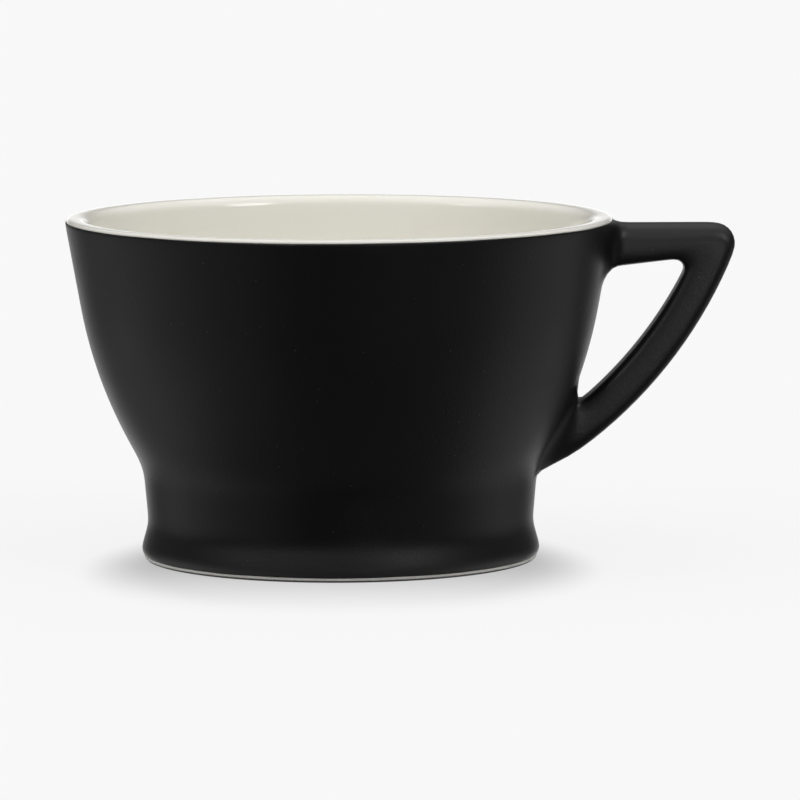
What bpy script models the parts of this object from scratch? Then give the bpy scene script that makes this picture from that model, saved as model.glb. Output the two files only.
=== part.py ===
"""Coffee cup: a slip-cast bowl on a flared foot, a handle luted to it, and three coats of glaze.

The cup stands on z = 0 with its handle towards +X, and the origin is under the middle of its outline.
Sizes are in metres, and heights start from the surface that the cup stands on.
"""

import math

import bmesh
import bpy
from mathutils import Vector

# Bowl, outside: a corner is where two straight stretches of the wall would cross, and a round joins them
RIM_DIAMETER = 0.0900
CUP_HEIGHT = 0.0560
BELLY_DIAMETER = 0.0805
BELLY_HEIGHT = 0.0296
BELLY_ROUND = 0.0735
SHOULDER_DIAMETER = 0.0647
SHOULDER_HEIGHT = 0.0151
SHOULDER_ROUND = 0.0098
WAIST_DIAMETER = 0.0631
WAIST_HEIGHT = 0.0059
WAIST_ROUND = 0.0040
FLARE_DIAMETER = 0.0660
FLARE_HEIGHT = 0.0007
FLARE_ROUND = 0.0019
FOOT_DIAMETER = 0.0628

# Bowl, rim and inside
WALL = 0.0038
LIP_OUTER_ROUND = 0.0009
LIP_INNER_ROUND = 0.0020
FLOOR_HEIGHT = 0.0066
FLOOR_ROUND = 0.0090

# Foot ring, which stays bare clay, and the recess inside it
RING_WIDTH = 0.0034
RING_EDGE = 0.0004
RECESS_DEPTH = 0.0026
RECESS_ROUND = 0.0015
RECESS_DRAFT = math.radians(8)

# Handle, in the plane of its two arms: a level upper arm and a lower arm bowed outwards
HANDLE_REACH = 0.0199
ARM_DROP = 0.0011
ARM_DEPTH = 0.0060
ARM_ROOT_DEPTH = 0.0072
ARM_THICKNESS = 0.0086
ARM_SQUARENESS = 3.0
BOW_RADIUS = 0.0745
BOW_DEPTH = 0.0064
NOSE_ROUND = 0.0034
CROOK_ROUND = 0.0012
LOWER_ROOT_HEIGHT = 0.0130
ROOT_SWELL = 0.0012
ROOT_SWELL_LENGTH = 0.0026

# Coats, films and the clearance between neighbouring pieces
GLAZE = 0.0004
SLIP_FILM = 0.0006
SEAM = 0.0003
LIP_BAND = 0.0005
FOOT_BAND = 0.00075
RECESS_BAND = 0.0008

# Fineness of the facets
AROUND = 44
CHORD_ERROR = 0.0001
SECTION_POINTS = 14
ROOT_STEPS = 4
CORNER_STEPS = 4
BOW_STEPS = 4
FOOTPRINT_STEPS = 11

SHARP_EDGE = math.radians(35)

# How far tools run past what they cut, and the shares of a straight stretch that its two rounds may take
TOOL_MARGIN = 0.0080
WELD = 0.000001
SHARE_AT_END = 0.97
SHARE_AT_START = 0.75
HALVINGS = 40

BLACK_MATT = ("black_matt_glaze", (0.012, 0.012, 0.013), 0.62)
IVORY_GLOSS = ("ivory_gloss_glaze", (0.72, 0.69, 0.60), 0.12)
WHITE_CLAY = ("white_clay", (0.66, 0.64, 0.60), 0.85)


def left_of(heading):
    """The direction a quarter turn to the left of a heading in the (radius, height) plane."""
    return Vector((-heading.y, heading.x))


def polar(radius, angle):
    """The place at this distance and direction from a centre."""
    return Vector((radius * math.cos(angle), radius * math.sin(angle)))


def between(low, high, share):
    """The value that lies this share of the way from low to high."""
    return low + (high - low) * share


def rounded_path(corners):
    """(place, normal) pairs along straight stretches joined by rounds, with the clay on the left.

    A corner is (radius from the axis, height, round). A round is limited by the stretches beside it.
    """
    places = [Vector(corner[:2]) for corner in corners]
    headings = [(after - before).normalized() for before, after in zip(places, places[1:])]
    path = [(places[0], left_of(headings[0]))]
    spare = (places[1] - places[0]).length
    for index in range(1, len(places) - 1):
        heading = headings[index - 1]
        normal = left_of(heading)
        turn = math.atan2(heading.cross(headings[index]), heading.dot(headings[index]))
        following = (places[index + 1] - places[index]).length
        spread = math.tan(abs(turn) / 2)
        eaten = min(corners[index][2] * spread, SHARE_AT_END * spare, SHARE_AT_START * following)
        radius = math.copysign(eaten / spread, turn)
        centre = places[index] - heading * eaten + normal * radius
        steps = max(1, math.ceil(abs(turn) / (2 * math.acos(1 - CHORD_ERROR / abs(radius)))))
        for step in range(steps + 1):
            turned_normal = polar(1, math.atan2(normal.y, normal.x) + turn * step / steps)
            path.append((centre - turned_normal * radius, turned_normal))
        spare = following - eaten
    path.append((places[-1], left_of(headings[-1])))
    return path


def shifted(path, depth):
    """The path's places, moved into the clay by depth, or outwards where it is negative."""
    return [place + normal * depth for place, normal in path]


def split_at_height(path, height):
    """The path up to where it first climbs through this height, and the rest of it."""
    for index, (low, high) in enumerate(zip(path, path[1:])):
        if low[0].y < height <= high[0].y:
            share = (height - low[0].y) / (high[0].y - low[0].y)
            cut = (low[0].lerp(high[0], share), low[1].lerp(high[1], share).normalized())
            return path[: index + 1] + [cut], [cut] + path[index + 1 :]
    raise ValueError("the outline doesn't climb through this height")


def offset_corner(before, corner, after, distance):
    """The corner of two stretches that have both moved to the left by distance."""
    heading_in = (corner - before).normalized()
    heading_out = (after - corner).normalized()
    bisector = (left_of(heading_in) + left_of(heading_out)).normalized()
    return corner + bisector * (distance / bisector.dot(left_of(heading_in)))


def bowl_outline():
    """The outline from the foot's edge up the outside, over the lip and down to the floor's middle."""
    foot = Vector((FOOT_DIAMETER / 2, 0))
    flare = Vector((FLARE_DIAMETER / 2, FLARE_HEIGHT))
    waist = Vector((WAIST_DIAMETER / 2, WAIST_HEIGHT))
    shoulder = Vector((SHOULDER_DIAMETER / 2, SHOULDER_HEIGHT))
    belly = Vector((BELLY_DIAMETER / 2, BELLY_HEIGHT))
    rim = Vector((RIM_DIAMETER / 2, CUP_HEIGHT))
    inner_belly = offset_corner(shoulder, belly, rim, WALL)
    inner_shoulder = offset_corner(waist, shoulder, belly, WALL)
    inner_wall = (rim - belly).normalized()
    inner_rim = inner_belly + inner_wall * ((CUP_HEIGHT - inner_belly.y) / inner_wall.y)
    inner_stem = (shoulder - waist).normalized()
    floor_edge = inner_shoulder + inner_stem * ((FLOOR_HEIGHT - inner_shoulder.y) / inner_stem.y)
    floor_middle = Vector((0, FLOOR_HEIGHT))
    return rounded_path(
        [
            (*foot, 0),
            (*flare, FLARE_ROUND),
            (*waist, WAIST_ROUND),
            (*shoulder, SHOULDER_ROUND),
            (*belly, BELLY_ROUND),
            (*rim, LIP_OUTER_ROUND),
            (*inner_rim, LIP_INNER_ROUND),
            (*inner_belly, BELLY_ROUND - WALL),
            (*inner_shoulder, SHOULDER_ROUND + WALL),
            (*floor_edge, FLOOR_ROUND),
            (*floor_middle, 0),
        ]
    )


def recess_outline():
    """The glazed surface of the recess, from the middle of its roof to the glaze line on its side."""
    mouth = RING_OUTER - RING_WIDTH - CLAY_DEPTH
    roof_edge = mouth - RECESS_DEPTH * math.tan(RECESS_DRAFT)
    line = mouth - RECESS_BAND * math.tan(RECESS_DRAFT)
    corners = [(0, RECESS_DEPTH, 0), (roof_edge, RECESS_DEPTH, RECESS_ROUND), (line, RECESS_BAND, 0)]
    return rounded_path(corners)


CLAY_DEPTH = GLAZE + SEAM
RING_OUTER = FOOT_DIAMETER / 2 - GLAZE
LIP_LINE = CUP_HEIGHT - LIP_BAND
OUTLINE = bowl_outline()
BELOW_LIP, INSIDE = split_at_height(OUTLINE, LIP_LINE)
OUTSIDE = split_at_height(split_at_height(BELOW_LIP, LIP_LINE - SEAM)[0], FOOT_BAND)[1]
BARE_FOOT, COVERED = split_at_height(OUTLINE, FOOT_BAND - SEAM)
RECESS = recess_outline()


def wall_radius(height):
    """The radius of the glazed outside at this height."""
    places = [place for place, _ in OUTSIDE]
    for low, high in zip(places, places[1:]):
        if height < high.y:
            return between(low.x, high.x, max(0, (height - low.y) / (high.y - low.y)))
    return places[-1].x


def circle_crossing(centre, radius, other_centre, other_radius):
    """Where two circles cross, on the left of the line from the first centre to the second."""
    heading = other_centre - centre
    gap = heading.length
    heading.normalize()
    along = (gap**2 + radius**2 - other_radius**2) / (2 * gap)
    return centre + heading * along + left_of(heading) * math.sqrt(radius**2 - along**2)


ARM_TOP = CUP_HEIGHT - ARM_DROP
NOSE_CENTRE = Vector((RIM_DIAMETER / 2 + HANDLE_REACH - NOSE_ROUND, ARM_TOP - NOSE_ROUND))
LOWER_ROOT = Vector((wall_radius(LOWER_ROOT_HEIGHT), LOWER_ROOT_HEIGHT))
BOW_CENTRE = circle_crossing(LOWER_ROOT, BOW_RADIUS, NOSE_CENTRE, BOW_RADIUS - NOSE_ROUND)


def bow_angle_at_wall(radius):
    """The angle about the bow's centre at which an arc of this radius runs into the wall."""
    outside = 0.0
    inside = -math.pi / 2
    for _ in range(HALVINGS):
        middle = (outside + inside) / 2
        place = BOW_CENTRE + polar(radius, middle)
        if place.x > wall_radius(place.y):
            outside = middle
        else:
            inside = middle
    return outside


def handle_edge(root_height, height, radius, corner_round):
    """One long edge of the handle: along the upper arm, round the corner, down the bow into the wall."""
    corner_height = height - corner_round
    drop = corner_height - BOW_CENTRE.y
    corner = Vector((BOW_CENTRE.x + math.sqrt((radius - corner_round) ** 2 - drop**2), corner_height))
    corner_end = math.atan2(drop, corner.x - BOW_CENTRE.x)
    upper_root = wall_radius(ARM_TOP - ARM_DEPTH / 2)
    footprint_start = bow_angle_at_wall(BOW_RADIUS - BOW_DEPTH) + ROOT_SWELL_LENGTH / BOW_RADIUS
    footprint_end = bow_angle_at_wall(BOW_RADIUS) - ROOT_SWELL_LENGTH / BOW_RADIUS
    bow_end = footprint_end - TOOL_MARGIN / BOW_RADIUS
    slope = (height - root_height) / (corner.x - upper_root)
    points = [Vector((upper_root - TOOL_MARGIN, root_height))]
    for step in range(ROOT_STEPS + 1):
        out = ROOT_SWELL_LENGTH * step / ROOT_STEPS
        points.append(Vector((upper_root + out, root_height + slope * out)))
    for step in range(CORNER_STEPS + 1):
        angle = between(math.pi / 2, corner_end, step / CORNER_STEPS)
        points.append(corner + polar(corner_round, angle))
    for step in range(1, BOW_STEPS):
        angle = between(corner_end, footprint_start, step / BOW_STEPS)
        points.append(BOW_CENTRE + polar(radius, angle))
    for step in range(FOOTPRINT_STEPS + 1):
        angle = between(footprint_start, footprint_end, step / FOOTPRINT_STEPS)
        points.append(BOW_CENTRE + polar(radius, angle))
    points.append(BOW_CENTRE + polar(radius, bow_end))
    return points


def softened(value):
    """A cosine or sine drawn towards one, so that a round section grows flatter sides."""
    return math.copysign(abs(value) ** (2 / ARM_SQUARENESS), value)


def handle_edges(depth):
    """Pairs of places on the handle's outer and inner edge, from wall to wall, depth below its surface."""
    top = ARM_TOP - depth
    outer_edge = handle_edge(top, top, BOW_RADIUS - depth, NOSE_ROUND - depth)
    inner_edge = handle_edge(
        ARM_TOP - ARM_ROOT_DEPTH + depth,
        ARM_TOP - ARM_DEPTH + depth,
        BOW_RADIUS - BOW_DEPTH + depth,
        CROOK_ROUND + depth,
    )
    return zip(outer_edge, inner_edge)


def along_section(edges, angle):
    """The place in the handle's plane that this angle of its section is at."""
    outer, inner = edges
    return (outer + inner) / 2 + (outer - inner) / 2 * softened(math.cos(angle))


def section_point(skin_edges, edges, depth, angle):
    """One point of the handle's section, depth below its surface, bent round the cup's axis.

    Near the wall the surface swells sideways and into the finger gap, as the luted clay does.
    """
    at_skin = along_section(skin_edges, angle)
    clear = max(0, at_skin.x - wall_radius(at_skin.y))
    swell = ROOT_SWELL * max(0, 1 - clear / ROOT_SWELL_LENGTH) ** 2
    across = (skin_edges[0] - skin_edges[1]).normalized()
    place = along_section(edges, angle) + across * (swell * min(0, math.cos(angle)))
    sideways = (ARM_THICKNESS / 2 - depth) * softened(math.sin(angle)) + swell * math.sin(angle)
    height = min(place.y, LIP_LINE - 2 * SEAM - depth)
    return Vector((math.sqrt(place.x**2 - sideways**2), sideways, height))


def handle_rings(depth):
    """The handle's sections from inside the wall, round, to inside the wall, depth below its surface."""
    angles = [2 * math.pi * (index + 0.5) / SECTION_POINTS for index in range(SECTION_POINTS)]
    rings = []
    for skin_edges, edges in zip(handle_edges(0), handle_edges(depth)):
        rings.append([section_point(skin_edges, edges, depth, angle) for angle in angles])
    return rings


def surface_material(name, colour, roughness):
    """The material of one finish, shared by the pieces that have it."""
    material = bpy.data.materials.get(name) or bpy.data.materials.new(name)
    material.use_nodes = True
    shader = material.node_tree.nodes["Principled BSDF"]
    shader.inputs["Base Color"].default_value = (*colour, 1)
    shader.inputs["Roughness"].default_value = roughness
    shader.inputs["Metallic"].default_value = 0
    return material


def placed(name, shape, finish):
    """A new object about the cup's axis. Without a finish it is a tool and no part of the cup."""
    bmesh.ops.recalc_face_normals(shape, faces=shape.faces)
    mesh = bpy.data.meshes.new(name)
    shape.to_mesh(mesh)
    shape.free()
    mesh.shade_smooth()
    mesh.set_sharp_from_angle(angle=SHARP_EDGE)
    piece = bpy.data.objects.new(name, mesh)
    bpy.context.scene.collection.objects.link(piece)
    piece.parent = bpy.data.objects["cup_axis"]
    if finish:
        mesh.materials.append(surface_material(*finish))
    else:
        piece.hide_render = True
        piece.display_type = "WIRE"
    return piece


def turned(name, profile, finish=None):
    """A solid turned about the cup's axis. A profile with both ends on the axis is left open there."""
    shape = bmesh.new()
    points = [shape.verts.new((place.x, 0, place.y)) for place in profile]
    edges = [shape.edges.new(pair) for pair in zip(points, points[1:])]
    if profile[0].x > WELD:
        edges.append(shape.edges.new((points[-1], points[0])))
    bmesh.ops.spin(
        shape, geom=points + edges, axis=(0, 0, 1), angle=2 * math.pi, steps=AROUND, use_merge=True
    )
    bmesh.ops.remove_doubles(shape, verts=shape.verts, dist=WELD)
    return placed(name, shape, finish)


def lofted(name, rings, finish=None):
    """A solid bridged through closed rings of points and capped at both ends.

    Its four-sided faces are all split the same way, so that one loft inside another keeps its distance.
    """
    shape = bmesh.new()
    loops = []
    for ring in rings:
        points = [shape.verts.new(point) for point in ring]
        loops.append([shape.edges.new(pair) for pair in zip(points, points[1:] + points[:1])])
        if ring is rings[0] or ring is rings[-1]:
            shape.faces.new(points)
    for loop, following in zip(loops, loops[1:]):
        bmesh.ops.bridge_loops(shape, edges=loop + following)
    bmesh.ops.triangulate(shape, faces=shape.faces, quad_method="FIXED")
    return placed(name, shape, finish)


def combine(piece, operation, tool):
    """Joins the tool to a piece, cuts it out, or keeps what both hold."""
    modifier = piece.modifiers.new(f"{operation.lower()} {tool.name}", "BOOLEAN")
    modifier.operation = operation
    modifier.solver = "EXACT"
    modifier.object = tool


def filled_bowl(name, depth):
    """A tool: all within the outside wall at this depth, run on above the lip and below the foot."""
    wall = shifted(OUTSIDE, depth)
    top = CUP_HEIGHT + TOOL_MARGIN
    below = -TOOL_MARGIN
    ends = [Vector((0, below)), Vector((wall[0].x, below))]
    return turned(name, ends + wall + [Vector((wall[-1].x, top)), Vector((0, top))])


def make_clay_bowl():
    """The bowl casting. Its foot ring is bare, level with the back of the coat that ends above it."""
    ring_inner = RING_OUTER - RING_WIDTH
    ring = [
        Vector((ring_inner, RING_EDGE)),
        Vector((ring_inner + RING_EDGE, 0)),
        Vector((RING_OUTER, 0)),
    ]
    casting = shifted(BARE_FOOT, GLAZE) + shifted(COVERED, CLAY_DEPTH)
    return turned("clay_bowl", shifted(RECESS, CLAY_DEPTH) + ring + casting, WHITE_CLAY)


def make_coat(name, path, finish):
    """A coat of glaze over a stretch of the outline that ends on the axis at one end."""
    surface = shifted(path, 0)
    back = shifted(path, GLAZE)
    if surface[0].x > surface[-1].x:
        profile = surface[::-1] + back
    else:
        profile = surface + back[::-1]
    return turned(name, profile, finish)


def make_outside_glaze():
    """One coat over the bowl's outside and the handle, open at lip and foot and under the roots."""
    skin = shifted(OUTSIDE, 0)
    ends = (Vector((0, skin[0].y)), Vector((0, skin[-1].y)))
    coat = turned("outside_glaze", [ends[0], *skin, ends[1]], BLACK_MATT)
    combine(coat, "UNION", lofted("handle_surface", handle_rings(0)))
    combine(coat, "DIFFERENCE", filled_bowl("wall_under_glaze", GLAZE))
    combine(coat, "DIFFERENCE", lofted("handle_under_glaze", handle_rings(GLAZE)))
    return coat


def make_handle_and_joints():
    """The handle casting, cut to the wall's curve, and the film of slip at each of its roots."""
    rings = handle_rings(CLAY_DEPTH)
    film_top = CLAY_DEPTH - SEAM - SLIP_FILM
    wall_below_film = filled_bowl("wall_below_slip", CLAY_DEPTH - SEAM)
    wall_above_film = filled_bowl("wall_above_slip", film_top)
    handle = lofted("clay_handle", rings, WHITE_CLAY)
    combine(handle, "DIFFERENCE", filled_bowl("wall_at_handle_ends", film_top - SEAM))
    roots = {
        "upper_slip_joint": rings[: ROOT_STEPS + 2],
        "lower_slip_joint": rings[-FOOTPRINT_STEPS - 2 :],
    }
    for name, root_rings in roots.items():
        film = lofted(name, root_rings, WHITE_CLAY)
        combine(film, "INTERSECT", wall_above_film)
        combine(film, "DIFFERENCE", wall_below_film)


def main():
    for leftover in list(bpy.data.objects):
        bpy.data.objects.remove(leftover, do_unlink=True)
    axis = bpy.data.objects.new("cup_axis", None)
    axis.location.x = -HANDLE_REACH / 2
    bpy.context.scene.collection.objects.link(axis)
    make_clay_bowl()
    make_coat("inside_glaze", INSIDE, IVORY_GLOSS)
    make_coat("base_glaze", RECESS, BLACK_MATT)
    make_outside_glaze()
    make_handle_and_joints()


main()
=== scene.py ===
"""Looks of a footed coffee cup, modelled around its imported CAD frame.

The bowl's outside and its handle share one coat of matt black glaze. The inside has a glossy ivory coat
that laps over the lip, and bare clay shows only on the foot ring. Lengths are in metres, and profiles are
drawn in a half plane: distance from the cup's axis, then height above the surface that it stands on.
"""

import math

import bmesh
import bpy
from bpy.props import FloatProperty, FloatVectorProperty, PointerProperty
from mathutils import Matrix, Vector, noise


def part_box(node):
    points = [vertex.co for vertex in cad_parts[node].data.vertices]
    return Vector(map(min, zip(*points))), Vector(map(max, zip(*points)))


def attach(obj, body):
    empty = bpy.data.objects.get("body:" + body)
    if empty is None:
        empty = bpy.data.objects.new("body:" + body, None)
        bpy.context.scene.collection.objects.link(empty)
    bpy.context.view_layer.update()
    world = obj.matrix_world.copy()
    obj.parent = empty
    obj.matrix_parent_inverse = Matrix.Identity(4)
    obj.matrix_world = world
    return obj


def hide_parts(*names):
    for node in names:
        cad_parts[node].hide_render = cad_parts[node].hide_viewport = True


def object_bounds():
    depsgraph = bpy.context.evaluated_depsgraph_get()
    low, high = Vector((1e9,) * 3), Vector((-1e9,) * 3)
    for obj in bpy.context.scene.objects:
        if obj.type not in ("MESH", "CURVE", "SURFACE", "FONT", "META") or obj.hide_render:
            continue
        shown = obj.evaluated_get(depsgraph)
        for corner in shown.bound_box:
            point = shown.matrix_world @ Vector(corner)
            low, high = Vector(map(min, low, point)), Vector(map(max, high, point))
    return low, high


bl_info = {
    "name": "Coffee cup",
    "version": (1, 0, 0),
    "blender": (4, 5, 0),
    "location": "View3D > Sidebar > Coffee Cup",
    "description": "Models a footed coffee cup with a matt black outside and a glossy ivory inside",
    "category": "Add Mesh",
}

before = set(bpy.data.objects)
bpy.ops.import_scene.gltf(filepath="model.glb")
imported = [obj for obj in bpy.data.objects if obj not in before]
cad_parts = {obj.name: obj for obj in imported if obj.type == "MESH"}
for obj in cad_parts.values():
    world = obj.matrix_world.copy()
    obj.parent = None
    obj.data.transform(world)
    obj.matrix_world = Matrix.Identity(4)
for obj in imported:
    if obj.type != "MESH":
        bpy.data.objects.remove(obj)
CAD_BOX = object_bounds()
CUP_BODY = "root"

# The cup's axis, in the frame, is the middle of the coat inside the bowl
INSIDE_LOW, INSIDE_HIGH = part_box("inside_glaze")
AXIS_X = (INSIDE_LOW.x + INSIDE_HIGH.x) / 2

# Fineness: faces round the bowl and round the handle, before the one subdivision that smooths them
AROUND = 80
ROOT_COLUMNS = 4
ROOT_ROWS = 8
SECTION_POINTS = 2 * (ROOT_COLUMNS + ROOT_ROWS)
ARM_STEPS = 6
CORNER_STEPS = 4
BOW_STEPS = 9
FINE_CHORD = 0.000002
PROFILE_CHORD = 0.000020
WELD = 0.000001
HALVINGS = 40

# Heights between which the black coat opens for the handle's two roots
LOWER_ROOT = (0.0143, 0.0295)
UPPER_ROOT = (0.0457, 0.05515)
# Heights of its other rings of faces: below the lower root; this far above it for the next one and for the
# first of the wall's rings; and the last one under the lip
FOOT_RINGS = (0.0011, 0.0015, 0.0019, 0.0026, 0.0034, 0.0043, 0.0053, 0.0065, 0.0082, 0.0105, 0.0130)
ROOT_STEP = 0.0004
WALL_START = 0.0012
WALL_RINGS = 7
RIM_RING = 0.05528

# Heights, from the line where the ivory coat meets the black one, of the skirt that it tucks behind it
SKIRT = (-0.0008, -0.0004, -0.0001, 0.0001)

# The clay's tuck behind the black coat at the foot: its two heights as shares of the bare band's
TUCK = (1.2, 1.6)

# The black glaze: size of its grain, how high it stands and how much lighter it is; size of its patches and
# how far their roughness differs
GRAIN_SIZE = 0.00045
GRAIN_HEIGHT = 0.00006
GRAIN_STRENGTH = 0.5
GRAIN_LIFT = 1.6
PATCH_SIZE = 0.010
PATCH_ROUGHNESS = 0.08
# Its pale specks: spacing, size as a share of that, the size and share of the patches that have them, colour
SPECK_SPACING = 0.0016
SPECK_SIZE = 0.055
SPECK_PATCH = 0.004
SPECK_LEVEL = 0.52
SPECK_SHARE = 0.08
SPECK = (0.8, 0.78, 0.74, 1)
# Heights between which its painted light from the table fades out above the foot
TABLE_LIGHT_FADE = (0.0006, 0.0030)

# The ivory glaze: size, tint and extra roughness of its clouds, and size and height of its surface's swell
CLOUD_SIZE = 0.012
CLOUD_TINT = (0.97, 0.96, 0.92)
CLOUD_ROUGHNESS = 0.02
SWELL_SIZE = 0.009
SWELL_HEIGHT = 0.00012
SWELL_STRENGTH = 0.5

# The clay: size, height and extra roughness of its pits' rims, and size and tint of its stains
PIT_SIZE = 0.00030
PIT_HEIGHT = 0.00004
PIT_STRENGTH = 0.7
PIT_ROUGHNESS = 0.1
STAIN_SIZE = 0.006
STAIN_TINT = 0.86
# Its painted contact shadow on the ring's bottom edge: the heights over which it fades, how ragged it is, and
# how far it fades inwards
SHADOW_FADE = (0.00030, 0.00048)
SHADOW_RAGGED = 0.00012
SHADOW_INWARDS = 0.0005

# The studio's soft lights, in degrees: turn from the camera's side towards the right, rise, how far the
# even middle and the faded edge reach from there; then strength. The low ones are what the table throws back.
SOFT_LIGHTS = (
    (0, 90, 30, 80, 0.84),
    (0, 60, 20, 60, 0.24),
    (-45, 30, 8, 34, 0.3),
    (-80, 50, 10, 34, 0.7),
    (180, 62, 6, 24, 0.4),
    (180, -20, 8, 34, 1.7),
    (-140, -10, 8, 34, 0.12),
    (140, -10, 8, 34, 0.1),
    (-104, -24, 4, 34, 0.65),
    (104, -24, 4, 34, 0.63),
    (-60, -30, 8, 34, 0.36),
    (60, -30, 8, 34, 0.12),
    (-150, -45, 8, 34, 0.07),
    (150, -45, 8, 34, 0.23),
    (0, -75, 15, 45, 0.16),
    (49, 38, 9, 12, 6.8),
    (-68, 36, 4, 7, 5.0),
)

# Two narrow lamps on the handle: turn and rise as above, then power in watts
HANDLE_LAMPS = ((12, 0, 9.2), (-25, 30, 12.0))
LAMP_AIM = (0.0445, 0, 0.037)
LAMP_DISTANCE = 0.62
LAMP_SIZE = 0.05
LAMP_BLEND = 0.7

# The camera's sensor in millimetres
SENSOR_WIDTH = 36

# The floor lies this little below the foot, so that the two faces don't fight
FLOOR_GAP = 0.00005

# The shade on the floor: where its oval fades out, as shares of its reach; where its deep sides begin and are
# full, across from the axis; where its front fades, along from its middle; and the depth of the front
OVAL_FADE = (0.657, 0.985)
SIDE_FADE = (0.030, 0.0555)
FRONT_FADE = (-0.0605, 0.020)
FRONT_DEPTH = 0.635

# Share of a straight stretch that the rounds at its start and its end may take
SHARE_AT_START = 0.75
SHARE_AT_END = 0.97


def length(name, default, description):
    """A size that the sidebar shows as a length."""
    return FloatProperty(
        name=name, description=description, default=default, unit="LENGTH", precision=5
    )


def amount(name, default, description, low=0.0, high=1.0):
    """A plain number between two limits."""
    return FloatProperty(name=name, description=description, default=default, min=low, max=high)


def angle(name, degrees, description):
    """An angle that the sidebar shows in degrees."""
    return FloatProperty(
        name=name, description=description, default=math.radians(degrees), subtype="ANGLE"
    )


def colour(name, default, description):
    """A colour in linear light."""
    return FloatVectorProperty(
        name=name, description=description, default=default, subtype="COLOR", size=3, min=0, max=1
    )


class CupBowl(bpy.types.PropertyGroup):
    """Sizes of the bowl. A corner of its wall is where two straight stretches would cross."""

    height: length("Height", CAD_BOX[1][2], "From the table to the top of the lip")
    rim: length("Rim diameter", 0.08997, "Across the outside of the rim")
    belly: length("Belly diameter", 0.0805, "Across the corner of the belly")
    belly_height: length("Belly height", 0.0296, "Height of the corner of the belly")
    belly_round: length("Belly round", 0.0735, "Radius that joins the two walls of the belly")
    shoulder: length("Shoulder diameter", 0.0647, "Across the corner between stem and belly")
    shoulder_height: length("Shoulder height", 0.0151, "Height of the corner between stem and belly")
    shoulder_round: length("Shoulder round", 0.0098, "Radius between stem and belly")
    waist: length("Waist diameter", 0.0631, "Across the narrowest part of the stem")
    waist_height: length("Waist height", 0.0059, "Height of the narrowest part of the stem")
    waist_round: length("Waist round", 0.0040, "Radius between the flare and the stem")
    flare: length("Flare diameter", 0.0660, "Across the foot's widest part")
    flare_height: length("Flare height", 0.0007, "Height of the foot's widest part")
    flare_round: length("Flare round", 0.0019, "Radius of the foot's widest part")
    foot: length("Foot diameter", 0.0628, "Across the outline where it meets the table")
    wall: length("Wall", 0.0038, "Thickness of the wall with its coats")
    lip_outer_round: length("Outer lip round", 0.0009, "Radius of the lip's outer edge")
    lip_inner_round: length("Inner lip round", 0.0020, "Radius of the lip's inner edge")
    floor_height: length("Floor height", 0.0066, "Height of the floor inside the bowl")
    floor_round: length("Floor round", 0.0090, "Radius between the floor and the wall")
    ring_width: length("Ring width", 0.0034, "Width of the bare ring that the cup stands on")
    ring_round: length("Ring round", 0.0002, "Radius of the bare ring's edges")
    ring_edge: length("Ring edge", 0.00036, "Height of the worn edge round the bottom of the bare ring")
    recess_depth: length("Recess depth", 0.0026, "Depth of the recess inside the foot ring")
    recess_round: length("Recess round", 0.0015, "Radius between the recess's roof and its side")
    recess_draft: angle("Recess draft", 8, "Lean of the recess's side")


class CupHandle(bpy.types.PropertyGroup):
    """Sizes of the handle: a level upper arm, and a lower arm that bows outwards."""

    reach: length("Reach", 0.0198, "How far the handle reaches past the rim")
    drop: length("Drop", 0.0011, "How far the upper arm lies below the lip")
    arm_depth: length("Arm depth", 0.0060, "Depth of the upper arm at its outer end")
    root_depth: length("Root depth", 0.0072, "Depth of the upper arm at the wall")
    thickness: length("Thickness", 0.0086, "Thickness of both arms, across the handle's plane")
    bow_radius: length("Bow radius", 0.0745, "Radius of the lower arm's outer edge")
    bow_depth: length("Bow depth", 0.0062, "Depth of the lower arm")
    nose_round: length("Nose round", 0.0034, "Radius of the handle's outer corner")
    crook_round: length("Crook round", 0.0016, "Radius of the finger gap's outer corner")
    lower_root: length("Lower root height", 0.0130, "Where the lower arm's outer edge meets the wall")
    root_clear: length("Root clearance", 0.0011, "Distance over which the upper arm blends into the wall")
    heel: length("Heel", 0.0045, "How far off the wall the lower arm's outer edge turns in")
    web: length("Web", 0.0012, "Width of the finger gap's blunt lower end")
    squareness: amount("Squareness", 4.6, "2 gives a round section, more gives flatter sides", 2, 8)
    top_squareness: amount("Top squareness", 2.3, "The same for the top of the upper arm", 2, 8)


class CupGlaze(bpy.types.PropertyGroup):
    """Thickness, edges and colours of the coats and of the bare clay."""

    coat: length("Coat", 0.0004, "Thickness of a coat of glaze")
    seam: length("Seam", 0.0003, "Clearance between a coat and the clay behind it")
    feather: length("Feather edge", 0.00005, "Thickness of a coat at its edge")
    lip_band: length("Lip band", 0.00050, "How far below the lip the black coat ends")
    foot_band: length("Foot band", 0.00075, "Height at which the black coat ends above the table")
    recess_band: length("Recess band", 0.0008, "Height at which the base coat ends")
    waver: length("Waver", 0.00010, "How far the edge of a coat wanders up and down")
    waver_length: length("Waver length", 0.0060, "Length of the wander along the edge")
    black: colour("Black", (0.0036, 0.0036, 0.0038), "Matt black glaze")
    # Painted light: the black is made paler low on the foot, where the table throws light back onto it
    table_lit_black: colour("Thin black", (0.035, 0.035, 0.034), "Black glaze where it runs thin at the foot")
    black_roughness: amount("Black roughness", 0.42, "Roughness of the matt black glaze")
    black_sheen: amount("Black sheen", 0.30, "How strongly the matt black glaze reflects")
    ivory: colour("Ivory", (0.872, 0.856, 0.801), "Glossy ivory glaze")
    ivory_roughness: amount("Ivory roughness", 0.03, "Roughness of the glossy ivory glaze")
    clay: colour("Clay", (0.87, 0.85, 0.81), "Bare fired clay")
    # Painted shadow: this grey darkens the ring's bottom edge, where it meets the table
    shadowed: colour("Worn clay", (0.15, 0.145, 0.138), "Grey that the table leaves on the ring's bottom edge")
    clay_roughness: amount("Clay roughness", 0.80, "Roughness of the bare clay")


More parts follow.
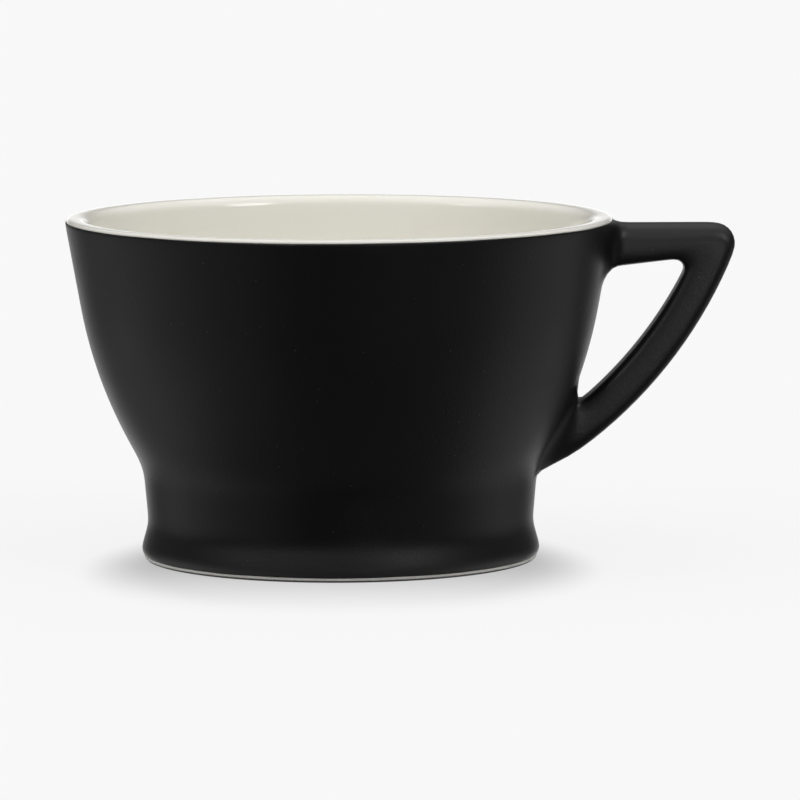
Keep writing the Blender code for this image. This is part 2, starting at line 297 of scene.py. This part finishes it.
class CupStage(bpy.types.PropertyGroup):
    """The camera, the floor and the lights."""

    distance: length("Camera distance", 1.1306, "From the camera to its aim")
    elevation: angle("Camera elevation", 6.448, "How far the camera looks down")
    roll: angle("Camera roll", -0.185, "Turn of the camera about its own axis")
    lens: amount("Lens", 310.49, "Focal length in millimetres", 1, 1000)
    aim_x: length("Aim across", -0.00015, "Sideways place of the aim")
    aim_z: length("Aim height", 0.02576, "Height of the aim")
    floor_size: length("Floor size", 12.0, "Side of the floor")
    floor: colour("Floor", (0.10, 0.10, 0.10), "Share of the lights that the floor throws back")
    glow: colour("Floor glow", (0.838, 0.838, 0.838), "Light that shines evenly through the floor")
    shade: amount("Shade", 0.80, "Depth of the shade round the foot")
    shade_across: length("Shade across", 0.0443, "How far the shade reaches to each side of the axis")
    shade_along: length("Shade along", 0.0612, "How far it reaches to the front and back of its middle")
    shade_forward: length("Shade forward", 0.0155, "How far its middle lies in front of the axis")
    lamp: amount("Handle lamps", 1.0, "Share of the handle lamps' full power", 0, 10)
    lamp_width: angle("Lamp width", 5.4, "Angle of each lamp's cone")


def left_of(heading):
    """The direction a quarter turn to the left of a heading."""
    return Vector((-heading.y, heading.x))


def polar(radius, turn):
    """The place at this distance and direction from a centre."""
    return Vector((radius * math.cos(turn), radius * math.sin(turn)))


def direction_of(turn, rise):
    """The direction of a light, from its turn off the camera's side and its rise, in degrees."""
    level = polar(math.cos(math.radians(rise)), math.radians(turn))
    return Vector((level.y, -level.x, math.sin(math.radians(rise))))


def between(low, high, share):
    """The value that lies this share of the way from low to high."""
    return low + (high - low) * share


def spread(low, high, steps):
    """Evenly spaced values from low up to, but without, high."""
    return [between(low, high, step / steps) for step in range(steps)]


def rounded_path(corners, chord_error):
    """(place, normal) pairs along straight stretches joined by rounds, with the clay on the left.

    A corner is (radius from the axis, height, round). A round is limited by the stretches beside it.
    """
    places = [Vector(corner[:2]) for corner in corners]
    headings = [(after - before).normalized() for before, after in zip(places, places[1:])]
    path = [(places[0], left_of(headings[0]))]
    spare = (places[1] - places[0]).length
    for index in range(1, len(places) - 1):
        heading = headings[index - 1]
        normal = left_of(heading)
        turn = math.atan2(heading.cross(headings[index]), heading.dot(headings[index]))
        following = (places[index + 1] - places[index]).length
        widening = math.tan(abs(turn) / 2)
        taken = min(corners[index][2] * widening, SHARE_AT_END * spare, SHARE_AT_START * following)
        radius = math.copysign(taken / widening, turn)
        centre = places[index] - heading * taken + normal * radius
        steps = max(1, math.ceil(abs(turn) / (2 * math.acos(1 - chord_error / abs(radius)))))
        for step in range(steps + 1):
            facing = polar(1, math.atan2(normal.y, normal.x) + turn * step / steps)
            path.append((centre - facing * radius, facing))
        spare = following - taken
    path.append((places[-1], left_of(headings[-1])))
    return path


def offset_corner(before, corner, after, distance):
    """The corner of two stretches that have both moved to the left by distance."""
    heading_in = (corner - before).normalized()
    heading_out = (after - corner).normalized()
    bisector = (left_of(heading_in) + left_of(heading_out)).normalized()
    return corner + bisector * (distance / bisector.dot(left_of(heading_in)))


def bowl_outline(bowl, chord_error):
    """The outline from the foot's edge up the outside, over the lip and down to the floor's middle."""
    foot = Vector((bowl.foot / 2, 0))
    flare = Vector((bowl.flare / 2, bowl.flare_height))
    waist = Vector((bowl.waist / 2, bowl.waist_height))
    shoulder = Vector((bowl.shoulder / 2, bowl.shoulder_height))
    belly = Vector((bowl.belly / 2, bowl.belly_height))
    rim = Vector((bowl.rim / 2, bowl.height))
    inner_belly = offset_corner(shoulder, belly, rim, bowl.wall)
    inner_shoulder = offset_corner(waist, shoulder, belly, bowl.wall)
    inner_wall = (rim - belly).normalized()
    inner_rim = inner_belly + inner_wall * ((bowl.height - inner_belly.y) / inner_wall.y)
    inner_stem = (shoulder - waist).normalized()
    floor_edge = inner_shoulder + inner_stem * ((bowl.floor_height - inner_shoulder.y) / inner_stem.y)
    corners = [
        (*foot, 0),
        (*flare, bowl.flare_round),
        (*waist, bowl.waist_round),
        (*shoulder, bowl.shoulder_round),
        (*belly, bowl.belly_round),
        (*rim, bowl.lip_outer_round),
        (*inner_rim, bowl.lip_inner_round),
        (*inner_belly, bowl.belly_round - bowl.wall),
        (*inner_shoulder, bowl.shoulder_round + bowl.wall),
        (*floor_edge, bowl.floor_round),
        (0, bowl.floor_height, 0),
    ]
    return rounded_path(corners, chord_error)


def at_height(path, height):
    """Where a path first climbs through a height: its index there, the place and the normal."""
    for index, (low, high) in enumerate(zip(path, path[1:])):
        if low[0].y < height <= high[0].y:
            share = (height - low[0].y) / (high[0].y - low[0].y)
            return index, low[0].lerp(high[0], share), low[1].lerp(high[1], share).normalized()
    raise ValueError(f"the outline doesn't climb through {height}")


def moved_in(path, depth):
    """The path's places, moved into the clay by depth."""
    return [place + normal * depth for place, normal in path]


class Wall:
    """The bowl's outside, by height."""

    def __init__(self, bowl):
        self.path = bowl_outline(bowl, FINE_CHORD)

    def place(self, height, depth=0.0):
        """The place on the wall at this height, moved into the clay by depth."""
        _, place, normal = at_height(self.path, height)
        return place + normal * depth

    def radius(self, height):
        """The wall's radius at this height."""
        return self.place(height).x


class HandleLines:
    """The handle's two long edges, in its own plane, from the wall round to the wall."""

    def __init__(self, bowl, handle, wall):
        self.handle = handle
        self.wall = wall
        top = bowl.height - handle.drop
        nose = Vector((bowl.rim / 2 + handle.reach - handle.nose_round, top - handle.nose_round))
        root = wall.place(handle.lower_root)
        self.bow_centre = self.bow_through(root, nose)
        self.outer = self.edge(top, top, handle.bow_radius, handle.nose_round, handle.heel)
        self.inner = self.edge(
            top - handle.root_depth,
            top - handle.arm_depth,
            handle.bow_radius - handle.bow_depth,
            handle.crook_round,
            handle.web,
        )

    def bow_through(self, root, nose):
        """The centre of the bow that starts at the lower root and runs into the nose's round."""
        heading = nose - root
        gap = heading.length
        heading.normalize()
        outer = self.handle.bow_radius
        inner = outer - self.handle.nose_round
        along = (gap**2 + outer**2 - inner**2) / (2 * gap)
        return root + heading * along + left_of(heading) * math.sqrt(outer**2 - along**2)

    def bow_end(self, radius, clear):
        """The angle about the bow's centre at which an arc of this radius comes this close to the wall."""
        outside = 0.0
        inside = -math.pi / 2
        for _ in range(HALVINGS):
            middle = (outside + inside) / 2
            place = self.bow_centre + polar(radius, middle)
            if place.x > self.wall.radius(place.y) + clear:
                outside = middle
            else:
                inside = middle
        return outside

    def edge(self, root_height, height, radius, corner_round, clear):
        """One long edge: along the upper arm, round the corner and down the bow."""
        level = height - corner_round
        drop = level - self.bow_centre.y
        corner = Vector((self.bow_centre.x + math.sqrt((radius - corner_round) ** 2 - drop**2), level))
        corner_end = math.atan2(drop, corner.x - self.bow_centre.x)
        root = Vector((self.wall.radius(root_height) + self.handle.root_clear, root_height))
        corner_start = corner + Vector((0, corner_round))
        places = [root.lerp(corner_start, share) for share in spread(0, 1, ARM_STEPS)]
        for turn in spread(math.pi / 2, corner_end, CORNER_STEPS):
            places.append(corner + polar(corner_round, turn))
        bow_end = self.bow_end(radius, clear)
        for turn in spread(corner_end, bow_end, BOW_STEPS) + [bow_end]:
            places.append(self.bow_centre + polar(radius, turn))
        return places


def softened(value, squareness):
    """A cosine or sine drawn towards one, so that a round section grows flatter sides."""
    return math.copysign(abs(value) ** (2 / squareness), value)


def add_section(shape, outer, inner, thickness, outer_squareness, inner_squareness):
    """A closed ring of edges: the handle's section between two places, bent round the cup's axis."""
    ring = bmesh.ops.create_circle(shape, segments=SECTION_POINTS, radius=1)["verts"]
    for point in ring:
        squareness = outer_squareness if point.co.x > 0 else inner_squareness
        along = (outer + inner) / 2 + (outer - inner) / 2 * softened(point.co.x, squareness)
        aside = thickness / 2 * softened(point.co.y, squareness)
        point.co = (math.sqrt(along.x**2 - aside**2), aside, along.y)
    return list({edge for point in ring for edge in point.link_edges})


def cut_root(shape, low, high):
    """Opens the wall for one root of the handle and gives the edges round the opening."""
    half_width = 2 * math.pi / AROUND * ROOT_COLUMNS / 2
    faces = set()
    for face in shape.faces:
        middle = face.calc_center_median()
        if abs(math.atan2(middle.y, middle.x)) < half_width and low < middle.z < high:
            faces.add(face)
    edges = {edge for face in faces for edge in face.edges}
    border = [edge for edge in edges if len(faces.intersection(edge.link_faces)) == 1]
    bmesh.ops.delete(shape, geom=list(faces), context="FACES")
    return border


def turned(shape, places, steps):
    """Spins a profile about the cup's axis. It ends on the axis at both ends, or it is a closed loop."""
    points = [shape.verts.new((place.x, 0, place.y)) for place in places]
    edges = [shape.edges.new(pair) for pair in zip(points, points[1:])]
    bmesh.ops.spin(
        shape, geom=points + edges, axis=(0, 0, 1), angle=2 * math.pi, steps=steps, use_merge=True
    )
    bmesh.ops.remove_doubles(shape, verts=shape.verts, dist=WELD)


def wavering(shape, level, waver, waver_length):
    """Lets the edge of a coat that ends at this height wander up and down a little."""
    for point in shape.verts:
        if abs(point.co.z - level) < WELD:
            point.co.z += waver * noise.noise(point.co / waver_length)


def add_piece(name, shape, finish, slot, *nodes):
    """Puts a finished shape on the cup's axis as a piece that stands for these CAD nodes."""
    bmesh.ops.recalc_face_normals(shape, faces=shape.faces)
    bmesh.ops.translate(shape, verts=shape.verts, vec=(AXIS_X, 0, 0))
    mesh = bpy.data.meshes.new(name)
    shape.to_mesh(mesh)
    shape.free()
    mesh.shade_smooth()
    mesh.materials.append(finish)
    piece = bpy.data.objects.new(name, mesh)
    bpy.context.scene.collection.objects.link(piece)
    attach(piece, CUP_BODY)
    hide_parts(*nodes)
    return piece


def smooth(piece):
    """Subdivides a piece once."""
    modifier = piece.modifiers.new("smooth", "SUBSURF")
    modifier.levels = 1
    modifier.render_levels = 1


class Value:
    """A socket of a node tree, with the arithmetic that adds Math nodes behind it."""

    def __init__(self, tree, socket):
        self.tree = tree
        self.socket = socket

    def math(self, operation, *values):
        """A Math node of these values."""
        node = self.tree.nodes.new("ShaderNodeMath")
        node.operation = operation
        for entry, value in zip(node.inputs, values):
            connect(self.tree, entry, value)
        return Value(self.tree, node.outputs[0])

    def __add__(self, other):
        return self.math("ADD", self, other)

    def __radd__(self, other):
        return self.math("ADD", other, self)

    def __sub__(self, other):
        return self.math("SUBTRACT", self, other)

    def __rsub__(self, other):
        return self.math("SUBTRACT", other, self)

    def __mul__(self, other):
        return self.math("MULTIPLY", self, other)

    def __rmul__(self, other):
        return self.math("MULTIPLY", other, self)

    def __lt__(self, other):
        return self.math("LESS_THAN", self, other)

    def __gt__(self, other):
        return self.math("GREATER_THAN", self, other)


def connect(tree, entry, value):
    """Links a value to a socket, or sets the socket to a number or a colour."""
    if isinstance(value, Value):
        tree.links.new(value.socket, entry)
    else:
        entry.default_value = value


class Nodes:
    """A node tree that grows by one call for each node."""

    def __init__(self, tree):
        self.tree = tree

    def node(self, kind, output, inputs, **settings):
        """A new node with its settings, then its inputs by name or number, and one of its outputs."""
        node = self.tree.nodes.new(kind)
        for key, setting in settings.items():
            setattr(node, key, setting)
        for key, value in inputs.items():
            connect(self.tree, node.inputs[key], value)
        return Value(self.tree, node.outputs[output])

    def step(self, value, low, high):
        """A soft step from 0 to 1 as the value goes from low to high."""
        limits = {"Value": value, "From Min": low, "From Max": high}
        return self.node("ShaderNodeMapRange", "Result", limits, interpolation_type="SMOOTHSTEP")


class Finish(Nodes):
    """A material that is built up from its shader."""

    def __init__(self, name):
        self.material = bpy.data.materials.new(name)
        self.material.use_nodes = True
        super().__init__(self.material.node_tree)
        self.shader = self.tree.nodes["Principled BSDF"]
        self.place = self.node("ShaderNodeTexCoord", "Object", {})

    def cloud(self, size, detail=2.0):
        """Soft noise from 0 to 1 with features of about this size."""
        inputs = {"Vector": self.place, "Scale": 1 / size, "Detail": detail}
        return self.node("ShaderNodeTexNoise", "Fac", inputs)

    def dots(self, size):
        """Distance from the nearest of many scattered points, in units of their spacing."""
        return self.node("ShaderNodeTexVoronoi", "Distance", {"Vector": self.place, "Scale": 1 / size})

    def mix(self, share, first, second):
        """A colour that is this share of the way from the first to the second."""
        return self.node("ShaderNodeMix", 2, {0: share, 6: first, 7: second}, data_type="RGBA")

    def bump(self, height, distance, strength=1.0):
        """A normal that follows a height from 0 to 1, this distance high."""
        inputs = {"Height": height, "Distance": distance, "Strength": strength}
        return self.node("ShaderNodeBump", "Normal", inputs)

    def surface(self, inputs):
        """Sets or links the shader's own sockets, and gives the material."""
        for key, value in inputs.items():
            connect(self.tree, self.shader.inputs[key], value)
        return self.material


def black_finish(glaze):
    """Dry matt black glaze: a fine grain, a few pale specks, a sheen that comes and goes, and light from the
    table painted in low on the foot.
    """
    finish = Finish("matt_black")
    grain = finish.cloud(GRAIN_SIZE, detail=3.0)
    patches = finish.cloud(PATCH_SIZE, detail=3.0)
    specks = (finish.dots(SPECK_SPACING) < SPECK_SIZE) * (finish.cloud(SPECK_PATCH) > SPECK_LEVEL)
    black = (*glaze.black, 1)
    lighter = (*(GRAIN_LIFT * part for part in glaze.black), 1)
    base = finish.mix(grain, black, lighter)
    height = finish.node("ShaderNodeSeparateXYZ", "Z", {"Vector": finish.place})
    # Painted light from the table: the black grows paler towards the foot
    paler = 1 - finish.step(height, *TABLE_LIGHT_FADE)
    base = finish.mix(paler, base, (*glaze.table_lit_black, 1))
    return finish.surface(
        {
            "Base Color": finish.mix(specks * SPECK_SHARE, base, SPECK),
            "Roughness": glaze.black_roughness - PATCH_ROUGHNESS / 2 + patches * PATCH_ROUGHNESS,
            "Specular IOR Level": glaze.black_sheen,
            "Normal": finish.bump(grain, GRAIN_HEIGHT, GRAIN_STRENGTH),
        }
    )


def ivory_finish(glaze):
    """Glossy ivory glaze, faintly clouded, whose surface isn't quite even."""
    finish = Finish("gloss_ivory")
    clouds = finish.cloud(CLOUD_SIZE, detail=3.0)
    swell = finish.cloud(SWELL_SIZE, detail=0.0)
    warmer = (*(part * tint for part, tint in zip(glaze.ivory, CLOUD_TINT)), 1)
    return finish.surface(
        {
            "Base Color": finish.mix(clouds, (*glaze.ivory, 1), warmer),
            "Roughness": glaze.ivory_roughness + clouds * CLOUD_ROUGHNESS,
            "Normal": finish.bump(swell, SWELL_HEIGHT, SWELL_STRENGTH),
        }
    )


def clay_finish(glaze, edge):
    """Bare white clay, dry and finely pitted, with a painted grey contact shadow low down and beyond this
    distance from the axis.
    """
    finish = Finish("bare_clay")
    pits = finish.cloud(PIT_SIZE, detail=4.0)
    stains = finish.cloud(STAIN_SIZE, detail=3.0)
    darker = (*(STAIN_TINT * part for part in glaze.clay), 1)
    height = finish.node("ShaderNodeSeparateXYZ", "Z", {"Vector": finish.place})
    around = finish.node(
        "ShaderNodeVectorMath", "Value", {0: finish.place, 1: (AXIS_X, 0, 0)}, operation="DISTANCE"
    )
    # Painted contact shadow: grey low on the ring and beyond the edge of its bottom
    low = 1 - finish.step(height + pits * SHADOW_RAGGED, *SHADOW_FADE)
    shadowed = low * finish.step(around, edge - SHADOW_INWARDS, edge)
    base = finish.mix(stains, (*glaze.clay, 1), darker)
    return finish.surface(
        {
            "Base Color": finish.mix(shadowed, base, (*glaze.shadowed, 1)),
            "Roughness": glaze.clay_roughness + pits * PIT_ROUGHNESS,
            "Normal": finish.bump(pits, PIT_HEIGHT, PIT_STRENGTH),
        }
    )


class CUP_OT_black_coat(bpy.types.Operator):
    """Model the matt black coat over the bowl's outside and the handle"""

    bl_idname = "cup.black_coat"
    bl_label = "Black Coat"

    def execute(self, context):
        scene = context.scene
        bowl, handle, glaze = scene.cup_bowl, scene.cup_handle, scene.cup_glaze
        wall = Wall(bowl)
        lines = HandleLines(bowl, handle, wall)
        foot_line = glaze.foot_band
        lip_line = bowl.height - glaze.lip_band
        heights = (
            [foot_line, *FOOT_RINGS]
            + spread(*LOWER_ROOT, ROOT_ROWS)
            + [LOWER_ROOT[1], LOWER_ROOT[1] + ROOT_STEP]
            + spread(LOWER_ROOT[1] + WALL_START, UPPER_ROOT[0], WALL_RINGS)
            + spread(*UPPER_ROOT, ROOT_ROWS)
            + [UPPER_ROOT[1], RIM_RING, lip_line]
        )
        shape = bmesh.new()
        turned(shape, [wall.place(height) for height in heights], AROUND)
        openings = [cut_root(shape, *root) for root in (UPPER_ROOT, LOWER_ROOT)]
        loops = [openings[0]]
        for step, (outer, inner) in enumerate(zip(lines.outer, lines.inner)):
            past_arm = min(max((step - ARM_STEPS) / CORNER_STEPS, 0), 1)
            outer_squareness = between(handle.top_squareness, handle.squareness, past_arm)
            loops.append(
                add_section(shape, outer, inner, handle.thickness, outer_squareness, handle.squareness)
            )
        loops.append(openings[1])
        for loop, following in zip(loops, loops[1:]):
            bmesh.ops.bridge_loops(shape, edges=loop + following)
        weights = shape.verts.layers.deform.verify()
        for point in shape.verts:
            edge = any(line.is_boundary for line in point.link_edges)
            point[weights][0] = glaze.feather / glaze.coat if edge else 1.0
        wavering(shape, lip_line, glaze.waver, glaze.waver_length)
        wavering(shape, foot_line, glaze.waver, glaze.waver_length)
        coat = add_piece("black_coat", shape, black_finish(glaze), "black_matt_glaze", "outside_glaze")
        coat.vertex_groups.new(name="coat")
        shell = coat.modifiers.new("coat", "SOLIDIFY")
        shell.thickness = glaze.coat
        shell.offset = -1
        shell.use_even_offset = True
        shell.vertex_group = "coat"
        smooth(coat)
        return {"FINISHED"}


class CUP_OT_ivory_coat(bpy.types.Operator):
    """Model the glossy ivory coat inside the bowl and over the lip"""

    bl_idname = "cup.ivory_coat"
    bl_label = "Ivory Coat"

    def execute(self, context):
        scene = context.scene
        bowl, glaze = scene.cup_bowl, scene.cup_glaze
        path = bowl_outline(bowl, PROFILE_CHORD)
        lip_line = bowl.height - glaze.lip_band
        fine = Wall(bowl)
        depths = (glaze.coat + glaze.feather, glaze.coat * 0.9, glaze.feather * 3, glaze.feather / 2)
        skirt = [(lip_line + step, depth) for step, depth in zip(SKIRT, depths)]
        start, _, _ = at_height(path, skirt[-1][0])
        surface = [fine.place(height, depth) for height, depth in skirt] + moved_in(path[start + 1 :], 0)
        back = [fine.place(height, depth + glaze.feather) for height, depth in skirt[:3]]
        back += moved_in(path[start + 1 :], glaze.coat)
        shape = bmesh.new()
        turned(shape, surface[::-1] + back, AROUND)
        coat = add_piece("ivory_coat", shape, ivory_finish(glaze), "ivory_gloss_glaze", "inside_glaze")
        smooth(coat)
        return {"FINISHED"}


class CUP_OT_base_coat(bpy.types.Operator):
    """Model the coat in the recess inside the foot ring"""

    bl_idname = "cup.base_coat"
    bl_label = "Base Coat"

    def execute(self, context):
        scene = context.scene
        bowl, glaze = scene.cup_bowl, scene.cup_glaze
        mouth = bowl.foot / 2 - glaze.coat - bowl.ring_width - glaze.coat - glaze.seam
        lean = math.tan(bowl.recess_draft)
        corners = [
            (0, bowl.recess_depth, 0),
            (mouth - bowl.recess_depth * lean, bowl.recess_depth, bowl.recess_round),
            (mouth - glaze.recess_band * lean, glaze.recess_band, 0),
        ]
        path = rounded_path(corners, PROFILE_CHORD)
        shape = bmesh.new()
        turned(shape, moved_in(path, 0) + moved_in(path, glaze.coat)[::-1], AROUND)
        finish = bpy.data.materials["matt_black"]
        coat = add_piece("base_coat", shape, finish, "black_matt_glaze", "base_glaze")
        smooth(coat)
        return {"FINISHED"}


class CUP_OT_clay(bpy.types.Operator):
    """Model the clay bowl with its bare foot ring, and finish the clay under the handle's glaze"""

    bl_idname = "cup.clay"
    bl_label = "Clay"

    def execute(self, context):
        scene = context.scene
        bowl, glaze = scene.cup_bowl, scene.cup_glaze
        fine = Wall(bowl)
        path = bowl_outline(bowl, PROFILE_CHORD)
        depth = glaze.coat + glaze.seam
        ring_face = fine.radius(glaze.foot_band) - glaze.feather * 2
        ring_inner = bowl.foot / 2 - glaze.coat - bowl.ring_width
        lean = math.tan(bowl.recess_draft)
        underside = rounded_path(
            [
                (0, bowl.recess_depth + depth, 0),
                (ring_inner - bowl.recess_depth * lean, bowl.recess_depth + depth, bowl.recess_round),
                (ring_inner, 0, bowl.ring_round),
                (ring_face - bowl.ring_edge, 0, bowl.ring_round),
                (ring_face, bowl.ring_edge, bowl.ring_round),
                (ring_face, glaze.foot_band, 0),
            ],
            PROFILE_CHORD,
        )
        tuck_middle, tuck_top = (glaze.foot_band * share for share in TUCK)
        tuck = [fine.place(tuck_middle, glaze.coat * 0.6), fine.place(tuck_top, depth)]
        start, _, _ = at_height(path, tuck_top)
        shape = bmesh.new()
        turned(shape, moved_in(underside, 0) + tuck + moved_in(path[start + 1 :], depth), 2 * AROUND)
        finish = clay_finish(glaze, ring_face - bowl.ring_edge)
        add_piece("clay_body", shape, finish, "white_clay", "clay_bowl")
        for node in ("clay_handle", "upper_slip_joint", "lower_slip_joint"):
            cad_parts[node].data.materials.clear()
            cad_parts[node].data.materials.append(finish)
        return {"FINISHED"}


class CUP_OT_stage(bpy.types.Operator):
    """Set up the floor, the lights and the camera"""

    bl_idname = "cup.stage"
    bl_label = "Stage"

    def execute(self, context):
        scene = context.scene
        stage = scene.cup_stage
        self.add_camera(scene, stage)
        self.add_floor(scene, stage)
        self.add_sky(scene)
        self.add_handle_lamps(scene, stage)
        scene.view_settings.view_transform = "Standard"
        return {"FINISHED"}

    def add_camera(self, scene, stage):
        """A long lens that looks slightly down on the cup."""
        aim = Vector((stage.aim_x, 0, stage.aim_z))
        camera = bpy.data.objects.new("camera", bpy.data.cameras.new("camera"))
        camera.data.lens = stage.lens
        camera.data.sensor_width = SENSOR_WIDTH
        turn = Matrix.Rotation(math.pi / 2 - stage.elevation, 4, "X") @ Matrix.Rotation(stage.roll, 4, "Z")
        back = Vector((0, -math.cos(stage.elevation), math.sin(stage.elevation)))
        camera.matrix_world = Matrix.Translation(aim + back * stage.distance) @ turn
        scene.collection.objects.link(camera)
        scene.camera = camera

    def add_floor(self, scene, stage):
        """A pale floor, mostly lit from within, that the cup neither mirrors nor shades."""
        shape = bmesh.new()
        bmesh.ops.create_grid(shape, x_segments=1, y_segments=1, size=stage.floor_size / 2)
        bmesh.ops.translate(shape, verts=shape.verts, vec=(0, 0, -FLOOR_GAP))
        mesh = bpy.data.meshes.new("floor")
        shape.to_mesh(mesh)
        shape.free()
        finish = Finish("pale_floor")
        shaded = (*((1 - stage.shade) * part for part in stage.glow), 1)
        mesh.materials.append(
            finish.surface(
                {
                    "Base Color": (*stage.floor, 1),
                    "Roughness": 1.0,
                    "Specular IOR Level": 0.0,
                    "Emission Color": finish.mix(self.shade_of(finish, stage), (*stage.glow, 1), shaded),
                    "Emission Strength": 1.0,
                }
            )
        )
        floor = bpy.data.objects.new("floor", mesh)
        floor.visible_diffuse = False
        floor.visible_glossy = False
        floor.visible_shadow = False
        scene.collection.objects.link(floor)

    def shade_of(self, finish, stage):
        """The soft shade on the floor: an oval in front of the cup, deepest at the two sides of the foot."""
        middle = (AXIS_X, -stage.shade_forward, 0)
        reach = (stage.shade_across, stage.shade_along, 1)
        vector = "ShaderNodeVectorMath"
        place = finish.node(vector, "Vector", {0: finish.place, 1: middle}, operation="SUBTRACT")
        share = finish.node(vector, "Vector", {0: place, 1: reach}, operation="DIVIDE")
        oval = 1 - finish.step(finish.node(vector, "Value", {0: share}, operation="LENGTH"), *OVAL_FADE)
        across = finish.node("ShaderNodeSeparateXYZ", "X", {"Vector": place})
        along = finish.node("ShaderNodeSeparateXYZ", "Y", {"Vector": place})
        beside = finish.step(across.math("ABSOLUTE", across), *SIDE_FADE)
        front = finish.step(along, *FRONT_FADE) * FRONT_DEPTH
        return oval * (beside + (1 - beside) * front)

    def add_handle_lamps(self, scene, stage):
        """Narrow lamps that pick out the handle, and leave the floor alone."""
        lit = bpy.data.collections.new("lit_by_handle_lamps")
        lit.objects.link(bpy.data.objects["black_coat"])
        aim = Vector(LAMP_AIM)
        for turn, rise, power in HANDLE_LAMPS:
            light = bpy.data.lights.new("handle_lamp", "SPOT")
            light.energy = power * stage.lamp
            light.spot_size = stage.lamp_width
            light.spot_blend = LAMP_BLEND
            light.shadow_soft_size = LAMP_SIZE
            lamp = bpy.data.objects.new("handle_lamp", light)
            place = aim + direction_of(turn, rise) * LAMP_DISTANCE
            facing = (aim - place).to_track_quat("-Z", "Y").to_matrix().to_4x4()
            lamp.matrix_world = Matrix.Translation(place) @ facing
            scene.collection.objects.link(lamp)
            lamp.light_linking.receiver_collection = lit

    def add_sky(self, scene):
        """The soft lights, all round the cup."""
        scene.world = bpy.data.worlds.new("studio")
        scene.world.use_nodes = True
        sky = Nodes(scene.world.node_tree)
        direction = sky.node("ShaderNodeTexCoord", "Generated", {})
        light = 0.0
        for turn, rise, core, edge, strength in SOFT_LIGHTS:
            middle = direction_of(turn, rise)
            facing = sky.node(
                "ShaderNodeVectorMath", "Value", {0: direction, 1: middle}, operation="DOT_PRODUCT"
            )
            low, high = math.cos(math.radians(edge)), math.cos(math.radians(core))
            light = sky.step(facing, low, high) * strength + light
        backdrop = sky.tree.nodes["Background"]
        connect(sky.tree, backdrop.inputs["Color"], (1, 1, 1, 1))
        connect(sky.tree, backdrop.inputs["Strength"], light)


class CUP_PT_sidebar(bpy.types.Panel):
    """The cup's pieces and its stage"""

    bl_idname = "CUP_PT_sidebar"
    bl_label = "Coffee Cup"
    bl_space_type = "VIEW_3D"
    bl_region_type = "UI"
    bl_category = "Coffee Cup"

    def draw(self, context):
        for operator in OPERATORS:
            self.layout.operator(operator.bl_idname)
        for name in GROUPS:
            group = getattr(context.scene, name)
            box = self.layout.box()
            for key in group.__annotations__:
                box.prop(group, key)


OPERATORS = (CUP_OT_black_coat, CUP_OT_ivory_coat, CUP_OT_base_coat, CUP_OT_clay, CUP_OT_stage)
GROUPS = {"cup_bowl": CupBowl, "cup_handle": CupHandle, "cup_glaze": CupGlaze, "cup_stage": CupStage}
CLASSES = (*GROUPS.values(), *OPERATORS, CUP_PT_sidebar)


def register():
    """Makes the classes and the cup's settings known to Blender."""
    for kind in CLASSES:
        bpy.utils.register_class(kind)
    for name, group in GROUPS.items():
        setattr(bpy.types.Scene, name, PointerProperty(type=group))


def unregister():
    """Takes the settings and the classes away again."""
    for name in GROUPS:
        delattr(bpy.types.Scene, name)
    for kind in reversed(CLASSES):
        bpy.utils.unregister_class(kind)


def main():
    """Models the cup and its stage."""
    register()
    bpy.ops.cup.black_coat()
    bpy.ops.cup.ivory_coat()
    bpy.ops.cup.base_coat()
    bpy.ops.cup.clay()
    bpy.ops.cup.stage()


if __name__ == "__main__":
    main()
